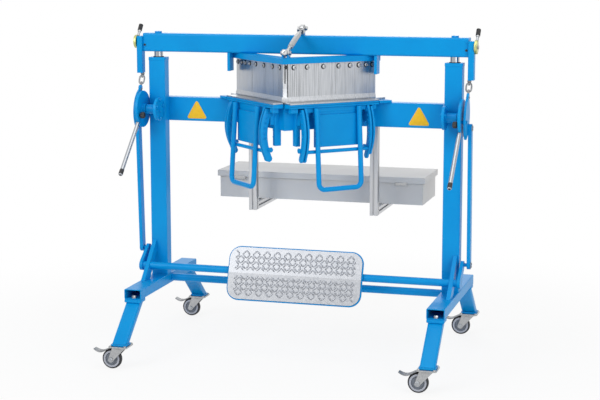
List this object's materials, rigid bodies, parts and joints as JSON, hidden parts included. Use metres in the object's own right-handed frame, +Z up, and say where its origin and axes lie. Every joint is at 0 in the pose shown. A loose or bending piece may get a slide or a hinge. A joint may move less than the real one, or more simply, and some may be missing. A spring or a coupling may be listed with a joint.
{
  "type": "corner sheet metal folding machine",
  "caption": "Wheeled corner folding machine: vee-shaped segmented clamp, two folding wings, cranks, treadle and tool box on a steel stand.",
  "frame": {"origin": "middle of the part's footprint, on the floor", "axes": "+X to the machine's right seen from the operator, +Y away from the operator, +Z up"},
  "size_m": [1.5801, 1.145, 1.467],
  "materials": {
    "blue_paint": "sky-blue gloss paint",
    "ground_steel": "ground bright steel",
    "zinc": "bright zinc plated",
    "aluminium": "mill and anodised aluminium",
    "rubber": "black rubber tread",
    "black_plastic": "black moulded plastic",
    "grey_sheet": "light grey paint",
    "brass_zinc": "yellow zinc plated"
  },
  "bodies": {
    "stand": {"base_right": "blue_paint", "base_left": "blue_paint", "column_right": "blue_paint", "column_left": "blue_paint", "front_legs": "blue_paint", "rear_legs": "blue_paint", "caster_plates": "zinc", "stretcher": "blue_paint", "cross_beam": "blue_paint", "shaft_bearings": "blue_paint", "treadle_braces": "blue_paint", "folding_table": "blue_paint", "table_strips": "ground_steel", "bend_guides": "blue_paint", "rack_posts": "aluminium", "rack_arms": "aluminium", "tool_box": "grey_sheet"},
    "clamp": {"top_beam": "blue_paint", "guide_posts": "zinc", "clamp_frame": "blue_paint", "blades_left": "ground_steel", "blades_right": "ground_steel", "corner_blade": "ground_steel", "blade_screws": "zinc", "tie_rod": "zinc", "upper_links": "blue_paint", "turnbuckles": "zinc", "toggle_plates": "blue_paint"},
    "treadle": {"treadle_rail": "blue_paint", "treadle_plate": "aluminium", "treadle_tray": "blue_paint"},
    "lid": {"box_lid": "grey_sheet"},
    "crank_left": {"crank_left": "blue_paint", "index_knob_left": "black_plastic", "lever_left": "zinc"},
    "link_left": {"lower_link_left": "blue_paint"},
    "dial_left": {"dial_left": "brass_zinc", "grip_left": "black_plastic"},
    "wing_left": {"wing_left": "blue_paint", "wing_strip_left": "ground_steel", "handle_left": "blue_paint"},
    "fork_front_left": {"caster_fork_front_left": "zinc"},
    "wheel_front_left": {"caster_wheel_front_left": "rubber"},
    "fork_rear_left": {"caster_fork_rear_left": "zinc"},
    "wheel_rear_left": {"caster_wheel_rear_left": "rubber"},
    "crank_right": {"crank_right": "blue_paint", "index_knob_right": "black_plastic", "lever_right": "zinc"},
    "link_right": {"lower_link_right": "blue_paint"},
    "dial_right": {"dial_right": "brass_zinc", "grip_right": "black_plastic"},
    "wing_right": {"wing_right": "blue_paint", "wing_strip_right": "ground_steel", "handle_right": "blue_paint"},
    "fork_front_right": {"caster_fork_front_right": "zinc"},
    "wheel_front_right": {"caster_wheel_front_right": "rubber"},
    "fork_rear_right": {"caster_fork_rear_right": "zinc"},
    "wheel_rear_right": {"caster_wheel_rear_right": "rubber"}
  },
  "joints": [
    {"name": "clamp_lift", "type": "slide", "parent": "stand", "child": "clamp", "axis": [0, 0, 1], "range_m": [0, 0.025]},
    {"name": "treadle_rock", "type": "hinge", "parent": "stand", "child": "treadle", "pos_m": [0.00995, -0.1335, 0.378], "axis": [1, 0, 0], "range_deg": [0, 22.81]},
    {"name": "lid_hinge", "type": "hinge", "parent": "stand", "child": "lid", "pos_m": [0.00995, 0.5685, 0.749], "axis": [1, 0, 0], "range_deg": [-100, 0]},
    {"name": "crank_turn_left", "type": "hinge", "parent": "stand", "child": "crank_left", "pos_m": [-0.66505, -0.1075, 1.088], "axis": [1, 0, 0], "range_deg": [-41.85, 0]},
    {"name": "link_swing_left", "type": "hinge", "parent": "clamp", "child": "link_left", "pos_m": [-0.73895, -0.0825, 1.045], "axis": [1, 0, 0], "range_deg": [-3.06, 0]},
    {"name": "dial_turn_left", "type": "hinge", "parent": "clamp", "child": "dial_left", "pos_m": [-0.75465, -0.0515, 1.386], "axis": [1, 0, 0], "range_deg": [0, 90]},
    {"name": "wing_fold_left", "type": "hinge", "parent": "stand", "child": "wing_left", "pos_m": [0.00995, -0.3195, 1.155], "axis": [-0.7071, 0.7071, 0], "range_deg": [0, 90]},
    {"name": "swivel_front_left", "type": "hinge", "parent": "stand", "child": "fork_front_left", "pos_m": [-0.66505, -0.5305, 0], "axis": [0, 0, 1], "continuous": true},
    {"name": "roll_front_left", "type": "hinge", "parent": "fork_front_left", "child": "wheel_front_left", "pos_m": [-0.70505, -0.5305, 0.044], "axis": [0, 1, 0], "continuous": true},
    {"name": "swivel_rear_left", "type": "hinge", "parent": "stand", "child": "fork_rear_left", "pos_m": [-0.66505, 0.4755, 0], "axis": [0, 0, 1], "continuous": true},
    {"name": "roll_rear_left", "type": "hinge", "parent": "fork_rear_left", "child": "wheel_rear_left", "pos_m": [-0.70505, 0.4755, 0.044], "axis": [0, 1, 0], "continuous": true},
    {"name": "crank_turn_right", "type": "hinge", "parent": "stand", "child": "crank_right", "pos_m": [0.68495, -0.1075, 1.088], "axis": [1, 0, 0], "range_deg": [-41.85, 0]},
    {"name": "link_swing_right", "type": "hinge", "parent": "clamp", "child": "link_right", "pos_m": [0.75885, -0.0825, 1.045], "axis": [1, 0, 0], "range_deg": [-3.06, 0]},
    {"name": "dial_turn_right", "type": "hinge", "parent": "clamp", "child": "dial_right", "pos_m": [0.77455, -0.0515, 1.386], "axis": [1, 0, 0], "range_deg": [0, 90]},
    {"name": "wing_fold_right", "type": "hinge", "parent": "stand", "child": "wing_right", "pos_m": [0.00995, -0.3195, 1.155], "axis": [-0.7071, -0.7071, 0], "range_deg": [0, 90]},
    {"name": "swivel_front_right", "type": "hinge", "parent": "stand", "child": "fork_front_right", "pos_m": [0.68495, -0.5305, 0], "axis": [0, 0, 1], "continuous": true},
    {"name": "roll_front_right", "type": "hinge", "parent": "fork_front_right", "child": "wheel_front_right", "pos_m": [0.64495, -0.5305, 0.044], "axis": [0, 1, 0], "continuous": true},
    {"name": "swivel_rear_right", "type": "hinge", "parent": "stand", "child": "fork_rear_right", "pos_m": [0.68495, 0.4755, 0], "axis": [0, 0, 1], "continuous": true},
    {"name": "roll_rear_right", "type": "hinge", "parent": "fork_rear_right", "child": "wheel_rear_right", "pos_m": [0.64495, 0.4755, 0.044], "axis": [0, 1, 0], "continuous": true}
  ],
  "couplings": [
    {"joint": "treadle_rock", "follows": "clamp_lift", "rad_per_m": 15.925},
    {"joint": "crank_turn_left", "follows": "clamp_lift", "rad_per_m": -29.217},
    {"joint": "link_swing_left", "follows": "clamp_lift", "rad_per_m": -2.1384},
    {"joint": "crank_turn_right", "follows": "clamp_lift", "rad_per_m": -29.217},
    {"joint": "link_swing_right", "follows": "clamp_lift", "rad_per_m": -2.1384}
  ]
}
